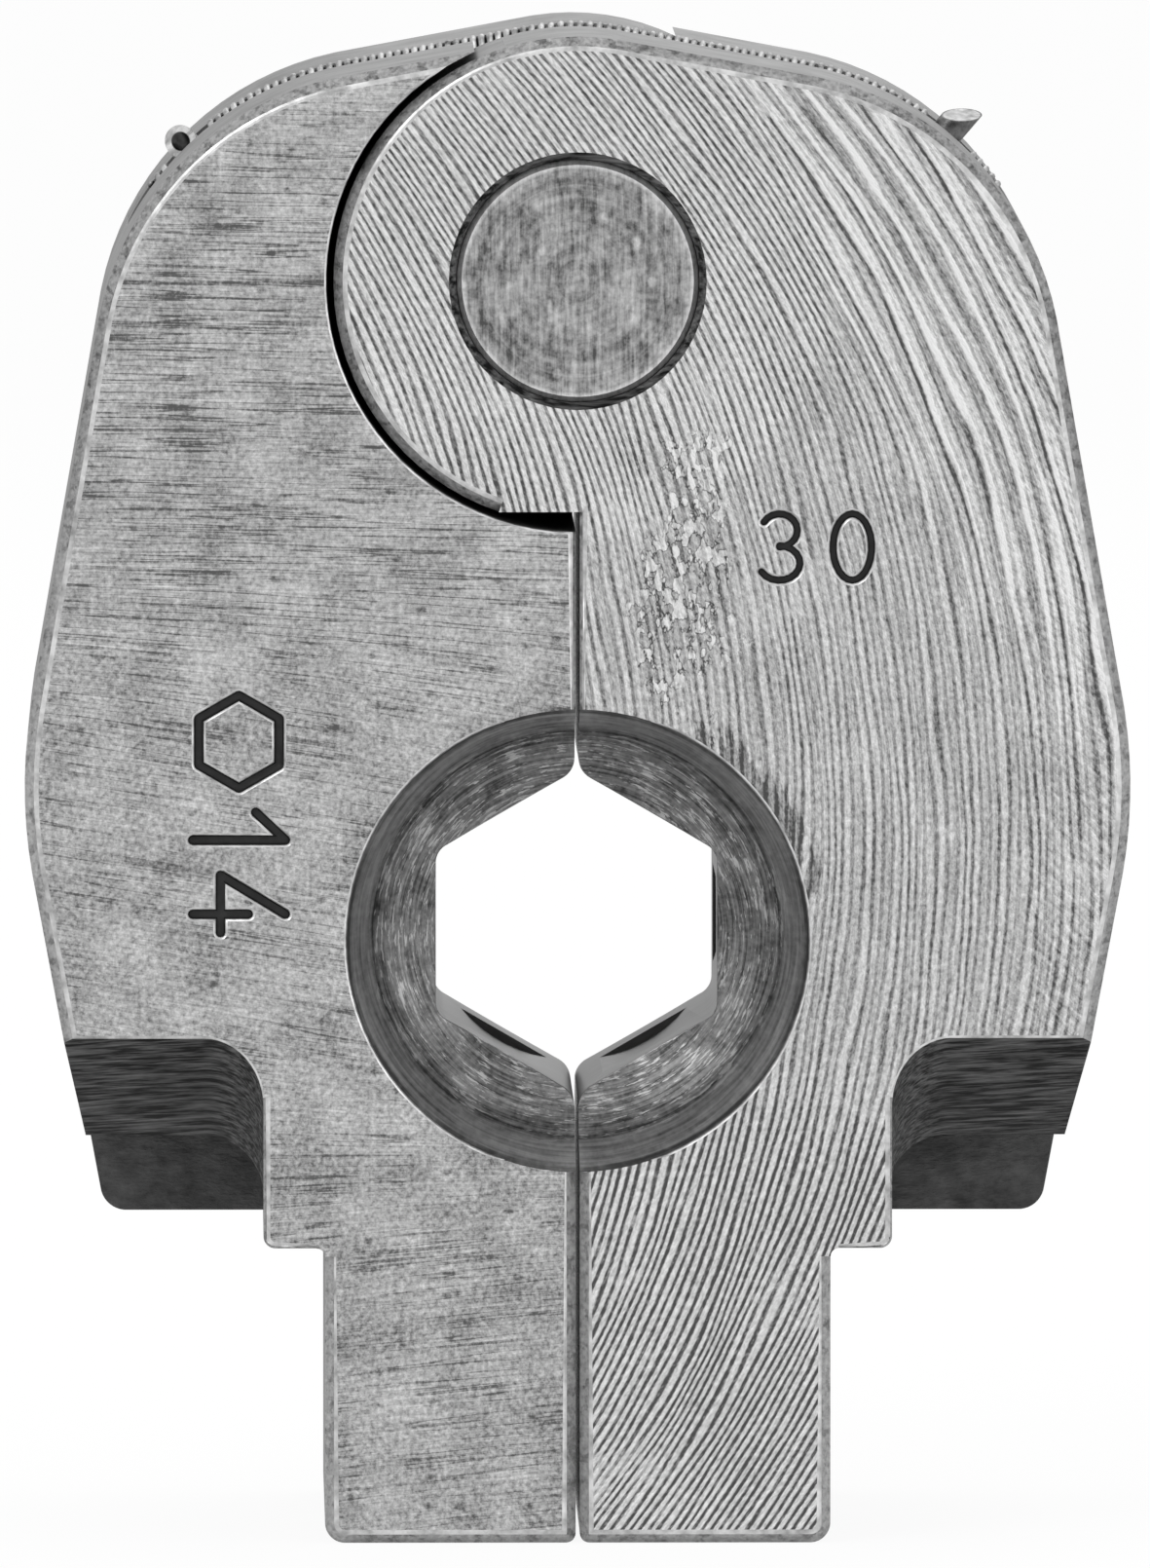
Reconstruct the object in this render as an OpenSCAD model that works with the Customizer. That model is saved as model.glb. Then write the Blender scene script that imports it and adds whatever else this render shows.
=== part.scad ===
// Two-half press jaw with a half-lap hinge, a hexagonal press opening and an opening spring.
// Millimetres. +X to the right, +Y from the front face to the back face, +Z up.
// Origin: bottom centre of the closed jaw, on the end of its tail.

/* [Body] */
// Thickness from the front face to the back face
jaw_t = 30; // [26:0.5:36]
// Width across the belly, the widest place
body_w = 54.84; // [52:0.1:60]
// Height of the belly above the tail's end
belly_z = 37.6; // [36:0.1:39]
// Radius of the outline at the belly
belly_r = 25; // [20:1:30]
// Taper of the sides above the belly, in degrees
upper_taper = 9.9; // [8:0.1:12]
// Taper of the sides below the belly, in degrees
lower_taper = 10.6; // [9:0.1:12]
// Radius of the two upper corners
corner_r = 15.2; // [13:0.1:16]
// Slope of the top edges beside the hinge, in degrees
top_slope = 10.6; // [9:0.1:12]
// Radius of the lower outer corners
foot_r = 1.3; // [0.8:0.1:2]
// Width of the bevel round the front and back faces
edge_bevel = 0.55; // [0.3:0.05:0.7]
// Width of the bevel along the parting edge above the dish
parting_bevel = 0.25; // [0.1:0.05:0.5]
// Gap between the two halves when closed
parting_gap = 0.2; // [0.1:0.02:0.3]

/* [Hinge] */
// Height of the hinge pin's axis above the tail's end
pin_z = 62.75; // [61.5:0.1:64]
// Diameter of the hinge pin
pin_d = 12; // [10:0.1:12.6]
// Radial running clearance of the pin in the front knuckle
pin_play = 0.04; // [0.02:0.01:0.09]
// Distance from each end of the pin to the face beside it
pin_recess = 0.3; // [0.1:0.1:0.8]
// Bevel on the pin's ends
pin_bevel = 0.25; // [0.1:0.05:0.4]
// Bevel at the mouth of the pin's bores
bore_bevel = 0.35; // [0.2:0.05:0.6]
// Radius of the round knuckles
knuckle_r = 12.1; // [11.6:0.1:12.6]
// Gap between a knuckle and the socket round it
socket_gap = 0.35; // [0.2:0.05:0.6]
// Gap between the two knuckles at mid thickness
lap_gap = 0.1; // [0.05:0.01:0.2]
// Height of the flat that relieves the bottom of each knuckle
relief_h = 0.65; // [0.2:0.05:1]

/* [Press opening] */
// Height of the press opening's axis above the tail's end
die_z = 30; // [29:0.1:31]
// Size of the hexagon across its flats
hex_af = 14; // [12:0.1:15]
// Radius in the hexagon's corners
hex_corner_r = 1; // [0.4:0.1:1.6]
// Radius of the lips where the halves meet
lip_r = 1.2; // [0.6:0.1:1.6]
// Radius of the dish at the face
dish_r = 11.5; // [11:0.1:12]
// Radius at the foot of the dish's steep wall
dish_foot_r = 10.1; // [9.8:0.1:10.6]
// Depth of the dish's steep wall
dish_wall = 5; // [4:0.1:6]
// Depth from the face to the hexagon's lip
dish_depth = 6.5; // [6.1:0.1:7.5]
// Depth of the turned bead groove behind the flats
bead_depth = 0.43; // [0.2:0.01:0.6]
// Width of the bead groove
bead_w = 11.3; // [8:0.1:12]
// Distance from the front lip to the bead groove
bead_start = 2.2; // [1.5:0.1:3]
// Length of the sloping front flank of the bead groove
bead_flank = 1.5; // [0.5:0.1:3]

/* [Tail and claw notches] */
// Width across the legs beside the notches
leg_w = 31.2; // [29:0.1:33]
// Height of the shoulders above the tail's end
shoulder_z = 14.7; // [13:0.1:16]
// Radius of the legs' lower corners
leg_corner_r = 0.6; // [0.4:0.1:1.4]
// Width of the bevel along the legs and the shoulders
leg_bevel = 0.2; // [0.1:0.05:0.35]
// Width of the tail
tail_w = 25.1; // [23:0.1:27]
// Radius of the tail's corners
tail_corner_r = 1; // [0.4:0.1:1.6]
// Radius of each half's lower corner at the parting
tail_inner_r = 0.5; // [0.2:0.1:0.8]
// Small radius in the corner between shoulder and tail
tail_fillet_r = 0.4; // [0.2:0.1:0.8]
// Height of the notch ceiling above the tail's end
notch_z = 19.5; // [18.5:0.1:20.5]
// Thickness of the plate behind each notch
back_plate = 6; // [4:0.1:8]
// Depth of the notch's sloping mouth
mouth_depth = 11; // [9:0.1:13]
// Rise of the sloping mouth, in degrees
mouth_slope = 27.4; // [22:0.1:30]
// Radius between the notch ceiling and the leg
notch_fillet_r = 3; // [2:0.1:4]

/* [Spring and anchor pins] */
// Outer diameter of the spring
spring_d = 3.5; // [3:0.1:3.8]
// Diameter of the spring's wire
wire_d = 0.4; // [0.3:0.02:0.42]
// Number of turns in the spring
spring_turns = 92; // [70:1:92]
// How far the spring stands above the outline
spring_proud = 0.2; // [0:0.05:0.4]
// Gap between the spring and the groove's floor
spring_seat = 0.05; // [0.03:0.01:0.2]
// Gap between the spring and each side of its groove
spring_side = 0.45; // [0.2:0.05:0.8]
// Angle of the spring's ends above level, seen from the corner's centre
spring_end_a = 35; // [33:0.5:38]
// Diameter of the anchor pins
anchor_d = 1.6; // [1.2:0.1:1.8]
// Length of the anchor pins below the groove's floor
anchor_seat = 4; // [3:0.5:6]
// Angle of the left anchor pin above level
left_anchor_a = 45.5; // [44:0.5:50]
// How far the middle of the left anchor pin's cut end stands above the outline
left_anchor_proud = 0.3; // [0.1:0.05:1]
// Slant of the left anchor pin's cut end towards the front, in degrees
left_anchor_slant = 45; // [0:1:50]
// Wall of the left anchor pin, which is rolled from strip
left_anchor_wall = 0.35; // [0.2:0.05:0.5]
// Slot left open along the rolled pin
left_anchor_slot = 0.15; // [0.05:0.05:0.3]
// Angle of the right anchor pin above level
right_anchor_a = 49.5; // [44:0.5:50]
// How far the middle of the right anchor pin's cut end stands above the outline
right_anchor_proud = 1.05; // [0.6:0.05:1.6]
// Slant of the right anchor pin's cut end, in degrees
right_anchor_slant = 41; // [0:1:50]
// Direction of that slant, in degrees from the hinge towards the front
right_anchor_turn = 32; // [0:1:90]

/* [Hidden] */
$fn = 96;

// Cutters reach this far past the surface that they open
over = 1;
// A length that is longer than the whole jaw
far = 90;
// Arcs stand this much proud of the lines that run into them
crown = 0.002;

half_gap = parting_gap / 2;
mid_depth = jaw_t / 2;
pin_c = [0, pin_z];
pin_r = pin_d / 2;
socket_r = knuckle_r + socket_gap;
tail_x = tail_w / 2;
leg_x = leg_w / 2;
notch_depth = jaw_t - back_plate;
notch_mouth_z = notch_z + mouth_depth * tan(mouth_slope);

// Plane geometry: a line is its outward normal's angle and its distance from the origin
function ray(a) = [cos(a), sin(a)];
function reach(a, c, r) = ray(a) * c + r;
function meet(a, da, b, db) = [da * sin(b) - db * sin(a), db * cos(a) - da * cos(b)] / sin(b - a);

// Outline lines, each tangent to the circles beside it
top_a = 90 - top_slope;
up_a = upper_taper;
low_a = -lower_taper;
belly_c = [body_w / 2 - belly_r, belly_z];
top_d = reach(top_a, pin_c, knuckle_r);
up_d = reach(up_a, belly_c, belly_r);
low_d = reach(low_a, belly_c, belly_r);
corner_c = meet(up_a, up_d - corner_r, top_a, top_d - corner_r);
foot_c = meet(-90, -shoulder_z - foot_r, low_a, low_d - foot_r);

// Hexagon
hex_r = hex_af / sqrt(3);
hex_x = hex_af / 2;
dish_slope = (dish_depth - dish_wall) / (dish_foot_r - hex_x);

// Spring path: inset from the outline, along the corner, the slope and the knuckle
groove_depth = spring_d - spring_proud + spring_seat;
groove_w = spring_d + 2 * spring_side;
// The groove runs on across each knuckle past where the spring leaves it, to this direction
groove_lap = 5;
groove_far_a = 180 - top_a + acos(1 - groove_depth / knuckle_r) + groove_lap;
// Direction from the pin's axis at which a knuckle's round meets its relief flat
relief_a = 180 + asin(1 - relief_h / knuckle_r);
coil_r = (spring_d - wire_d) / 2;
path_inset = spring_d / 2 - spring_proud;
path_corner_r = corner_r - path_inset;
path_knuckle_r = knuckle_r - path_inset;
corner_run = path_corner_r * (top_a - spring_end_a) * PI / 180;
slope_run = norm((corner_c + corner_r * ray(top_a)) - (pin_c + knuckle_r * ray(top_a)));
knuckle_run = path_knuckle_r * top_slope * PI / 180;
half_run = corner_run + slope_run + knuckle_run;
// Gap between an anchor pin and the turns beside it
anchor_clear = 0.35;
// Distance between the turns on each side of an anchor pin
anchor_gap = anchor_d + wire_d + 2 * anchor_clear;
// Height of an anchor pin's lower end, from the outline
anchor_foot = -groove_depth - anchor_seat;
// Share of a turn over which the coil widens to pass a pin
pass_turn = 0.5;
coil_steps = 8;
wire_sides = 4;

module slab(from, to) {
    translate([0, to - mid_depth, 0])
        rotate([90, 0, 0])
            linear_extrude(to - from)
                children();
}

// A ring turned round a line that runs front to back through the point c
module turned(c) {
    translate([c[0], -mid_depth, c[1]])
        rotate([-90, 0, 0])
            rotate_extrude()
                children();
}

// The slice of a disc that rounds the corner between two lines tangent to it. It stands a crown
// proud and laps over both lines, so that their edges cross and don't just touch.
module sector(c, r, from, to) {
    lap = acos(r / (r + crown)) + 1;
    side = (r + over) / cos((to - from + 2 * lap) / 4);
    intersection() {
        translate(c) circle(r + crown);
        polygon([c, c + side * ray(from - lap), c + side * ray((from + to) / 2), c + side * ray(to + lap)]);
    }
}

// What a round of radius r leaves in a corner; sx and sz point out of the corner
module corner_waste(p, r, sx, sz) {
    translate(p)
        scale([sx, sz])
            difference() {
                translate([-r, -r]) square([r + over, r + over]);
                translate([-r, -r]) circle(r);
            }
}

// The web that fills an inside corner to radius r; sx and sz point away from the walls
module corner_web(p, r, sx, sz) {
    translate(p)
        scale([sx, sz])
            difference() {
                translate([-over, -over]) square([r + over, r + over]);
                translate([r, r]) circle(r);
            }
}

// Half of the outline above the shoulder, right of the parting plane
module body_outline() {
    intersection() {
        union() {
            polygon([
                [0, shoulder_z],
                foot_c + foot_r * ray(-90),
                foot_c,
                foot_c + foot_r * ray(low_a),
                belly_c + belly_r * ray(low_a),
                belly_c + belly_r * ray(up_a),
                corner_c + corner_r * ray(up_a),
                corner_c + corner_r * ray(top_a),
                pin_c + knuckle_r * ray(top_a),
                pin_c
            ]);
            sector(foot_c, foot_r, -90, low_a);
            sector(belly_c, belly_r, low_a, up_a);
            sector(corner_c, corner_r, up_a, top_a);
        }
        translate([half_gap, 0]) square([far, far]);
    }
}

module tail_outline() {
    difference() {
        translate([half_gap, 0]) square([tail_x - half_gap, shoulder_z + over]);
        corner_waste([tail_x, 0], tail_corner_r, 1, -1);
        corner_waste([half_gap, 0], tail_inner_r, -1, -1);
    }
    intersection() {
        corner_web([tail_x, shoulder_z], tail_fillet_r, 1, -1);
        translate([tail_x - over, 0]) square([over + tail_fillet_r, shoulder_z + over]);
    }
}

// Triangle that takes the bevel off an edge at the radius r, at the face
module bevel_section(r, size) {
    polygon([[r - size - over, -over], [r + over, -over], [r + over, size + over]]);
}

module bevel_arc(c, r, from, to, size = edge_bevel) {
    translate([c[0], -mid_depth, c[1]])
        rotate([-90, 0, 0])
            rotate([0, 0, -to])
                rotate_extrude(angle = to - from)
                    intersection() {
                        bevel_section(r + 2 * crown, size);
                        translate([0, -far]) square(2 * far);
                    }
}

// The edge runs clockwise from p to q, with its outward normal at the angle a. Where a round
// follows, the bevel runs on past the edge's end.
module bevel_line(p, q, a, before = 0, after = 0, size = edge_bevel) {
    end = q + after * ray(a - 90);
    translate([end[0], -mid_depth, end[1]])
        rotate([0, -a, 0])
            linear_extrude(norm(q - p) + before + after)
                bevel_section(0, size);
}

// Bevels that both faces have
module outline_bevels() {
    bevel_line(pin_c + knuckle_r * ray(top_a), corner_c + corner_r * ray(top_a), top_a, over, over);
    bevel_arc(corner_c, corner_r, up_a, top_a);
    bevel_line(corner_c + corner_r * ray(up_a), belly_c + belly_r * ray(up_a), up_a, over, over);
    bevel_arc(belly_c, belly_r, low_a, up_a);
    bevel_line(belly_c + belly_r * ray(low_a), foot_c + foot_r * ray(low_a), low_a, over, over);
    bevel_line([tail_x, shoulder_z - tail_fillet_r], [tail_x, tail_corner_r], 0, 0, over);
    bevel_arc([tail_x - tail_corner_r, tail_corner_r], tail_corner_r, -90, 0);
    bevel_line([tail_x - tail_corner_r, 0], [half_gap - over, 0], -90, over);
    bevel_line([half_gap, -over], [half_gap, die_z - dish_r], 180);
    bevel_line([half_gap, die_z + dish_r], [half_gap, pin_z - knuckle_r + relief_h], 180,
        size = parting_bevel);
}

module leg_bevels() {
    bevel_line([leg_x, notch_mouth_z - notch_fillet_r], [leg_x, shoulder_z + leg_corner_r], 0, 0, over,
        size = leg_bevel);
    bevel_arc([leg_x - leg_corner_r, shoulder_z + leg_corner_r], leg_corner_r, -90, 0, size = leg_bevel);
    bevel_line([leg_x - leg_corner_r, shoulder_z], [tail_x + tail_fillet_r, shoulder_z], -90, over,
        size = leg_bevel);
}

module back_plate_bevels() {
    bevel_arc(foot_c, foot_r, -90, low_a);
    bevel_line(foot_c + foot_r * ray(-90), [tail_x + tail_fillet_r, shoulder_z], -90, over);
}

module knuckle_bevel() {
    bevel_arc(pin_c, knuckle_r, top_a, relief_a);
}

// The notch for the tool's claw: a flat ceiling with a fillet down to the leg
module notch_outline() {
    difference() {
        translate([leg_x, -far]) square([far, far + notch_z]);
        corner_web([leg_x, notch_z], notch_fillet_r, 1, -1);
    }
}

module claw_notch() {
    slab(-over, notch_depth) notch_outline();
    translate([0, mouth_depth - mid_depth, notch_z])
        rotate([-mouth_slope, 0, 0])
            translate([0, 2 * notch_fillet_r, -notch_z])
                rotate([90, 0, 0])
                    linear_extrude(far)
                        notch_outline();
}

// Half of the hexagon, with its corners rounded and its lips drawn round
module hex_outline() {
    corner = [hex_x, hex_r / 2];
    centre = [hex_x - hex_corner_r, corner[1] - hex_corner_r * tan(30)];
    lip = [half_gap, hex_r - half_gap * tan(30)];
    for (s = [-1, 1])
        translate([0, die_z])
            scale([1, s]) {
                difference() {
                    polygon([
                        [-over, 0],
                        [-over, lip[1] + lip_r * tan(30)],
                        [half_gap, lip[1] + lip_r * tan(30)],
                        lip + lip_r * tan(30) * ray(-30),
                        centre + hex_corner_r * ray(60),
                        centre,
                        centre + hex_corner_r * ray(0),
                        [hex_x, 0]
                    ]);
                    translate([half_gap + lip_r, lip[1] + lip_r * tan(30)]) circle(lip_r);
                }
                sector(centre, hex_corner_r, 0, 60);
            }
}

module press_opening() {
    slab(-over, jaw_t + over) hex_outline();
    for (s = [0, 1])
        mirror([0, s, 0])
            turned([0, die_z])
                polygon([
                    [0, -over],
                    [dish_r + over * (dish_r - dish_foot_r) / dish_wall, -over],
                    [dish_foot_r, dish_wall],
                    [0, dish_wall + dish_foot_r * dish_slope]
                ]);
    turned([0, die_z])
        polygon([
            [0, dish_depth + bead_start],
            [hex_x, dish_depth + bead_start],
            [hex_x + bead_depth, dish_depth + bead_start + bead_flank],
            [hex_x + bead_depth, dish_depth + bead_start + bead_w],
            [0, dish_depth + bead_start + bead_w]
        ]);
}

// Outline of what is left under the spring groove
module groove_floor() {
    polygon([
        pin_c,
        corner_c,
        corner_c + (corner_r - groove_depth) * ray(top_a),
        pin_c + (knuckle_r - groove_depth) * ray(top_a)
    ]);
    translate(pin_c) circle(knuckle_r - groove_depth + crown);
    translate(corner_c) circle(corner_r - groove_depth + crown);
}

module spring_groove() {
    slab(mid_depth - groove_w / 2, mid_depth + groove_w / 2)
        difference() {
            polygon([
                corner_c,
                corner_c + far * ray(spring_end_a),
                [far, far * 2],
                [-far, far * 2],
                pin_c + far * ray(groove_far_a),
                pin_c
            ]);
            groove_floor();
        }
    translate([corner_c[0], 0, corner_c[1]])
        rotate([0, 90 - spring_end_a, 0])
            translate([0, 0, corner_r - groove_depth])
                cylinder(h = far, d = groove_w);
}

module anchor_bore(angle) {
    translate([corner_c[0], 0, corner_c[1]])
        rotate([0, 90 - angle, 0])
            translate([0, 0, corner_r - groove_depth - anchor_seat])
                cylinder(h = anchor_seat + over, d = anchor_d);
}

// One half, built on the right. The knuckle lies on the front side of the lap, or else on the back.
module jaw(front_knuckle, bore_r, anchor_angle) {
    side = front_knuckle ? 0 : 1;
    difference() {
        union() {
            slab(0, jaw_t) {
                body_outline();
                tail_outline();
            }
            mirror([0, side, 0])
                slab(0, mid_depth - lap_gap / 2)
                    difference() {
                        translate(pin_c) circle(knuckle_r + crown);
                        translate([-far + half_gap, -far])
                            square([far, far + pin_z - knuckle_r + relief_h]);
                    }
        }
        mirror([0, side, 0]) {
            slab(mid_depth - lap_gap / 2, jaw_t + over) translate(pin_c) circle(socket_r);
            turned(pin_c)
                polygon([
                    [0, -over],
                    [bore_r + bore_bevel + over, -over],
                    [bore_r, bore_bevel],
                    [bore_r, jaw_t],
                    [0, jaw_t]
                ]);
        }
        for (s = [0, 1])
            mirror([0, s, 0]) outline_bevels();
        leg_bevels();
        mirror([0, 1, 0]) back_plate_bevels();
        mirror([0, side, 0]) knuckle_bevel();
        slab(-over, notch_depth) corner_waste([leg_x, shoulder_z], leg_corner_r, 1, -1);
        claw_notch();
        press_opening();
        spring_groove();
        anchor_bore(anchor_angle);
    }
}

module right_jaw() {
    color([0.66, 0.66, 0.66])
        jaw(true, pin_r + pin_play, right_anchor_a);
}

module left_jaw() {
    color([0.7, 0.7, 0.7])
        mirror([1, 0, 0])
            jaw(false, pin_r, left_anchor_a);
}

module hinge_pin() {
    color([0.55, 0.55, 0.55])
        turned(pin_c)
            polygon([
                [0, pin_recess],
                [pin_r - pin_bevel, pin_recess],
                [pin_r, pin_recess + pin_bevel],
                [pin_r, jaw_t - pin_recess - pin_bevel],
                [pin_r - pin_bevel, jaw_t - pin_recess],
                [0, jaw_t - pin_recess]
            ]);
}

// Places an anchor pin's parts on the ray from the corner's centre at an angle, foot in its bore
module on_anchor_ray(angle) {
    translate([corner_c[0], 0, corner_c[1]])
        rotate([0, 90 - angle, 0])
            translate([0, 0, corner_r])
                children();
}

// Wire from the anchor bore's floor, cut off aslant at a height above the outline. The cut faces
// the hinge, or is turned from there towards the front.
module cut_pin(height, slant, turn) {
    difference() {
        translate([0, 0, anchor_foot]) cylinder(h = height + anchor_d - anchor_foot, d = anchor_d);
        translate([0, 0, height])
            rotate([0, 0, turn])
                rotate([0, -slant, 0])
                    translate([-far, -far, 0]) cube([2 * far, 2 * far, far]);
    }
}

// Rolled from strip, so it is hollow and has a slot along it
module left_anchor_pin() {
    color([0.5, 0.5, 0.5])
        mirror([1, 0, 0])
            on_anchor_ray(left_anchor_a)
                difference() {
                    cut_pin(left_anchor_proud, left_anchor_slant, 90);
                    translate([0, 0, anchor_foot - over])
                        cylinder(h = far, d = anchor_d - 2 * left_anchor_wall);
                    translate([-anchor_d, -left_anchor_slot / 2, anchor_foot - over])
                        cube([anchor_d, left_anchor_slot, far]);
                }
}

module right_anchor_pin() {
    color([0.5, 0.5, 0.5])
        on_anchor_ray(right_anchor_a)
            cut_pin(right_anchor_proud, right_anchor_slant, right_anchor_turn);
}

// A point on the spring's centreline at the distance s from the top centre, and its outward angle
function path_angle(s) =
    s < knuckle_run ? 90 - s / path_knuckle_r * 180 / PI :
    s < knuckle_run + slope_run ? top_a :
    top_a - (s - knuckle_run - slope_run) / path_corner_r * 180 / PI;
function path_point(s) =
    s < knuckle_run ? pin_c + path_knuckle_r * ray(path_angle(s)) :
    s < knuckle_run + slope_run ?
        pin_c + path_knuckle_r * ray(top_a) + (s - knuckle_run) * ray(top_a - 90) :
    corner_c + path_corner_r * ray(path_angle(s));

// Distances along the path: the spring's ends, and the turns on each side of each anchor pin
function anchor_run(angle) = knuckle_run + slope_run + path_corner_r * (top_a - angle) * PI / 180;
left_near = -anchor_run(left_anchor_a) - anchor_gap / 2;
left_past = left_near + anchor_gap;
right_near = anchor_run(right_anchor_a) - anchor_gap / 2;
right_past = right_near + anchor_gap;
wire_end = half_run - wire_d / 2;
pitch = (2 * wire_end - 2 * anchor_gap) / (spring_turns - 2 * pass_turn);
// Turns in each plain stretch, cut down so that each wide half turn passes behind its pin
left_turns = floor((left_near + wire_end) / pitch);
middle_turns = floor((right_near - left_past) / pitch + pass_turn) - pass_turn;
right_turns = floor((wire_end - right_past) / pitch * coil_steps) / coil_steps;
// Turns counted and distance reached at each end of the plain and the wide stretches
knots = [
    [0, -wire_end],
    [left_turns, left_near],
    [left_turns + pass_turn, left_past],
    [left_turns + pass_turn + middle_turns, right_near],
    [left_turns + 2 * pass_turn + middle_turns, right_past],
    [left_turns + 2 * pass_turn + middle_turns + right_turns, wire_end]
];
function ease(t) = t * t * t * (10 + t * (6 * t - 15));
function coil_run(turn, i = 0) =
    i < len(knots) - 2 && turn > knots[i + 1][0] ? coil_run(turn, i + 1) :
    let (share = (turn - knots[i][0]) / (knots[i + 1][0] - knots[i][0]))
    knots[i][1] + (knots[i + 1][1] - knots[i][1]) * (i % 2 == 0 ? share : ease(share));
function coil_ring(turn) =
    let (
        s = coil_run(turn),
        mirrored = s < 0,
        p = path_point(abs(s)),
        a = mirrored ? 180 - path_angle(abs(s)) : path_angle(s),
        at = [mirrored ? -p[0] : p[0], 0, p[1]],
        out = [cos(a), 0, sin(a)],
        along = [sin(a), 0, -cos(a)],
        spoke = out * cos(360 * turn) + [0, 1, 0] * sin(360 * turn)
    )
    [for (k = [0:wire_sides - 1])
        let (b = 360 * k / wire_sides)
        at + spoke * (coil_r + wire_d / 2 * cos(b)) + along * wire_d / 2 * sin(b)];

module opening_spring() {
    rings = round(knots[len(knots) - 1][0] * coil_steps);
    points = [for (i = [0:rings]) each coil_ring(i / coil_steps)];
    sides = [for (i = [0:rings - 1]) for (k = [0:wire_sides - 1])
        let (n = (k + 1) % wire_sides)
        [i * wire_sides + k, (i + 1) * wire_sides + k, (i + 1) * wire_sides + n, i * wire_sides + n]];
    caps = [
        [for (k = [0:wire_sides - 1]) k],
        [for (k = [wire_sides - 1:-1:0]) rings * wire_sides + k]
    ];
    color([0.6, 0.6, 0.6])
        polyhedron(points, concat(sides, caps), convexity = 10);
}

left_jaw();
right_jaw();
hinge_pin();
opening_spring();
left_anchor_pin();
right_anchor_pin();
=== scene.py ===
"""Looks of a two-half press jaw: ground and milled steel faces, a blackened die, a coiled spring.

Metres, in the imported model's own frame: +X to the right half, +Y to the back face, +Z up.
"""
import math

import bmesh
import bpy
import numpy as np
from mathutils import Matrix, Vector


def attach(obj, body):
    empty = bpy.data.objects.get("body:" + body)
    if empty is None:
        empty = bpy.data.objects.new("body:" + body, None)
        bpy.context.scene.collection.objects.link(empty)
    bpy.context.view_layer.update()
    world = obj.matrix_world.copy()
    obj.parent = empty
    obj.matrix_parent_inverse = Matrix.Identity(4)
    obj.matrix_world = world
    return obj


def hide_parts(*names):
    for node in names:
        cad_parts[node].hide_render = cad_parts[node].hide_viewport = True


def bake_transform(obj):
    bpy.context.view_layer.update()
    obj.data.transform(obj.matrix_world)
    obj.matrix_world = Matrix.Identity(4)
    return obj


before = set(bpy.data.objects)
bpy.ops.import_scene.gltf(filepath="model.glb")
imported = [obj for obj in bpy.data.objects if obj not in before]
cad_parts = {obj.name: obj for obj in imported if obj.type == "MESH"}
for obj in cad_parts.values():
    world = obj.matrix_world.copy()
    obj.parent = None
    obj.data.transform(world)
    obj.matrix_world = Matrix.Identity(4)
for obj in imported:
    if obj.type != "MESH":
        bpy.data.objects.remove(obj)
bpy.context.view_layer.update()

MM = 0.001
# The model's driving sizes, in millimetres, as the CAD part has them
HALF_T = 15.0
PIN_Z = 62.75
PIN_R = 6.0
KNUCKLE_R = 12.1
SOCKET_R = 12.45
DIE_Z = 30.0
DISH_R = 11.5
LIP_Y = 8.5
NOTCH_TOP = 25.4
LEG_X = 15.6
NOTCH_BACK_Y = 9.0

# Spring: wire, coil and the path that its centreline follows
WIRE_R = 0.2
COIL_R = 1.55
TURNS = 92
PATH_INSET = 1.55
BELLY = (2.42, 37.6)
BELLY_R = 25.0
CORNER_R = 15.2
UP_A = math.radians(9.9)
TOP_A = math.radians(79.4)
END_A = math.radians(35.0)
ANCHOR_D = 1.6
ANCHOR_CLEAR = 0.35
LEFT_ANCHOR_A = math.radians(45.5)
RIGHT_ANCHOR_A = math.radians(49.5)
PASS_TURN = 0.5
COIL_STEPS = 8

# Camera: what the photograph's perspective gives
AIM = (-0.14, -15.0, 37.8)
LOOK_DOWN = 3.84
LOOK_ASIDE = -0.65
DISTANCE = 1520.0
LENS = 704.0
SENSOR = 36.0


def line_meeting(a, from_a, b, from_b):
    """Where two lines meet, each given by its normal's angle and its distance from the origin."""
    x = from_a * math.sin(b) - from_b * math.sin(a)
    z = from_b * math.cos(a) - from_a * math.cos(b)
    return x / math.sin(b - a), z / math.sin(b - a)


def upper_corner():
    """Centre of the upper corner's arc: inset by its radius from the flank and the top edge."""
    flank = BELLY[0] * math.cos(UP_A) + BELLY[1] * math.sin(UP_A) + BELLY_R
    top = PIN_Z * math.sin(TOP_A) + KNUCKLE_R
    return line_meeting(UP_A, flank - CORNER_R, TOP_A, top - CORNER_R)


CORNER = upper_corner()


class Link:
    """One output of a shader node. Python's operators on it add Math nodes."""

    def __init__(self, finish, socket):
        self.finish, self.socket = finish, socket

    def math(self, operation, *values):
        inputs = dict(enumerate((self, *values)))
        return self.finish.node("ShaderNodeMath", {"operation": operation}, inputs)

    def also(self, name):
        """Another output of the same node."""
        return Link(self.finish, self.socket.node.outputs[name])

    def __add__(self, other):
        return self.math("ADD", other)

    __radd__ = __add__

    def __sub__(self, other):
        return self.math("SUBTRACT", other)

    def __rsub__(self, other):
        return self.math("MULTIPLY_ADD", -1.0, other)

    def __mul__(self, other):
        return self.math("MULTIPLY", other)

    __rmul__ = __mul__

    def __truediv__(self, other):
        return self.math("DIVIDE", other)

    def __pow__(self, other):
        return self.math("POWER", other)

    def __abs__(self):
        return self.math("ABSOLUTE")


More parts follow.
